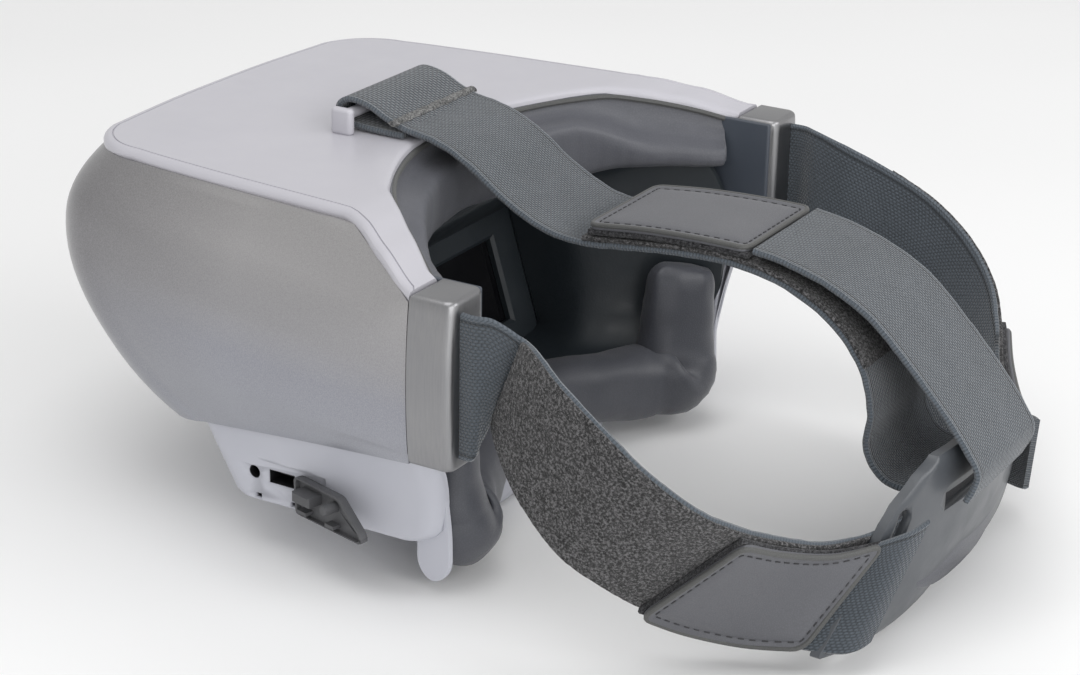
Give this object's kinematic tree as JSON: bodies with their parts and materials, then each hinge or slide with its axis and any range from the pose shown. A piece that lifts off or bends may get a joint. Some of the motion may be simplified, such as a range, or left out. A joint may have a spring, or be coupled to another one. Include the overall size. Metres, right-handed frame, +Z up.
{
  "type": "fpv goggles",
  "caption": "Box-shaped video goggles with an eye window inside padded face cushions, held on by elastic straps that meet at a rear plate.",
  "frame": {"origin": "centre of the bounding box's bottom face", "axes": "+X to the wearer's right, +Y forwards out of the front shell, +Z up"},
  "size_m": [0.2022, 0.262, 0.1103],
  "materials": {
    "white_cover": "satin gloss white",
    "silver_shell": "satin silver paint",
    "lower_body": "satin pale grey",
    "dark_plastic": "fine grained",
    "bracket_metal": "satin cast metal with bright edges",
    "steel": "turned",
    "shroud_plastic": "fine grained slate",
    "window_glass": "polished dark window",
    "lens_glass": "polished",
    "black_plastic": "moulded",
    "screen": "polished",
    "board": "lacquered",
    "cell": "film wrapped",
    "socket_plastic": "moulded",
    "cover_rubber": "moulded",
    "button_plastic": "moulded",
    "cushion_leather": "fine grained artificial leather over foam",
    "woven_strap": "woven elastic",
    "loop_pile": "brushed loop pile",
    "hook_pad": "moulded hooks",
    "tab_leather": "smooth artificial leather with piped edge",
    "plate_plastic": "satin grey"
  },
  "bodies": {
    "headset": {"top_cover": "white_cover", "strap_bar": "white_cover", "front_shell": "silver_shell", "lower_housing": "lower_body", "belly_cover": "lower_body", "bottom_cover": "dark_plastic", "face_frame": "dark_plastic", "display_holder": "dark_plastic", "left_bracket": "bracket_metal", "right_bracket": "bracket_metal", "left_strap_pin": "steel", "right_strap_pin": "steel", "bracket_screws": "steel", "bottom_screws": "steel", "inner_shroud": "shroud_plastic", "window_frame": "shroud_plastic", "eye_window": "window_glass", "left_lens": "lens_glass", "right_lens": "lens_glass", "light_baffle": "black_plastic", "board_chips": "black_plastic", "display_panel": "screen", "main_board": "board", "battery": "cell", "audio_jack": "socket_plastic", "video_socket": "socket_plastic", "forehead_cushion": "cushion_leather", "lower_cushion": "cushion_leather", "top_strap": "woven_strap", "left_strap": "woven_strap", "right_strap": "woven_strap", "top_loop_pile": "loop_pile", "left_loop_pile": "loop_pile", "right_loop_pile": "loop_pile"},
    "back_plate": {"rear_plate": "plate_plastic", "rear_pad": "cushion_leather", "top_return": "woven_strap", "left_return": "woven_strap", "right_return": "woven_strap"},
    "top_flap": {"top_tab": "tab_leather", "top_hook_pad": "hook_pad"},
    "left_flap": {"left_tab": "tab_leather", "left_hook_pad": "hook_pad"},
    "right_flap": {"right_tab": "tab_leather", "right_hook_pad": "hook_pad"},
    "port_cover": {"port_cover": "cover_rubber"},
    "power_button": {"power_button": "button_plastic"},
    "plus_button": {"plus_button": "button_plastic"},
    "minus_button": {"minus_button": "button_plastic"}
  },
  "joints": [
    {"name": "strap_stretch", "type": "slide", "parent": "headset", "child": "back_plate", "axis": [0, -1, 0], "range_m": [0, 0.04], "stiffness_N_per_m": 150, "deforming": ["top_strap", "top_loop_pile", "left_strap", "left_loop_pile", "right_strap", "right_loop_pile"]},
    {"name": "left_flap_peel", "type": "hinge", "parent": "back_plate", "child": "left_flap", "pos_m": [-0.0586, -0.10603, 0.01812], "axis": [-0.3924, 0.4796, -0.7848], "range_deg": [-50, 0]},
    {"name": "right_flap_peel", "type": "hinge", "parent": "back_plate", "child": "right_flap", "pos_m": [0.0586, -0.10603, 0.01812], "axis": [0.3924, 0.4796, -0.7848], "range_deg": [0, 50]},
    {"name": "top_flap_peel", "type": "hinge", "parent": "back_plate", "child": "top_flap", "pos_m": [0, -0.0638, 0.0906], "axis": [1, 0, 0], "range_deg": [0, 50]},
    {"name": "port_cover_swing", "type": "hinge", "parent": "headset", "child": "port_cover", "pos_m": [-0.0814, 0.0332, 0.0224], "axis": [0, 0, 1], "range_deg": [-163, 0]},
    {"name": "power_button_press", "type": "slide", "parent": "headset", "child": "power_button", "axis": [-1, 0, 0], "range_m": [0, 0.0008], "stiffness_N_per_m": 900},
    {"name": "plus_button_press", "type": "slide", "parent": "headset", "child": "plus_button", "axis": [-1, 0, 0], "range_m": [0, 0.0008], "stiffness_N_per_m": 900},
    {"name": "minus_button_press", "type": "slide", "parent": "headset", "child": "minus_button", "axis": [-1, 0, 0], "range_m": [0, 0.0008], "stiffness_N_per_m": 900}
  ]
}
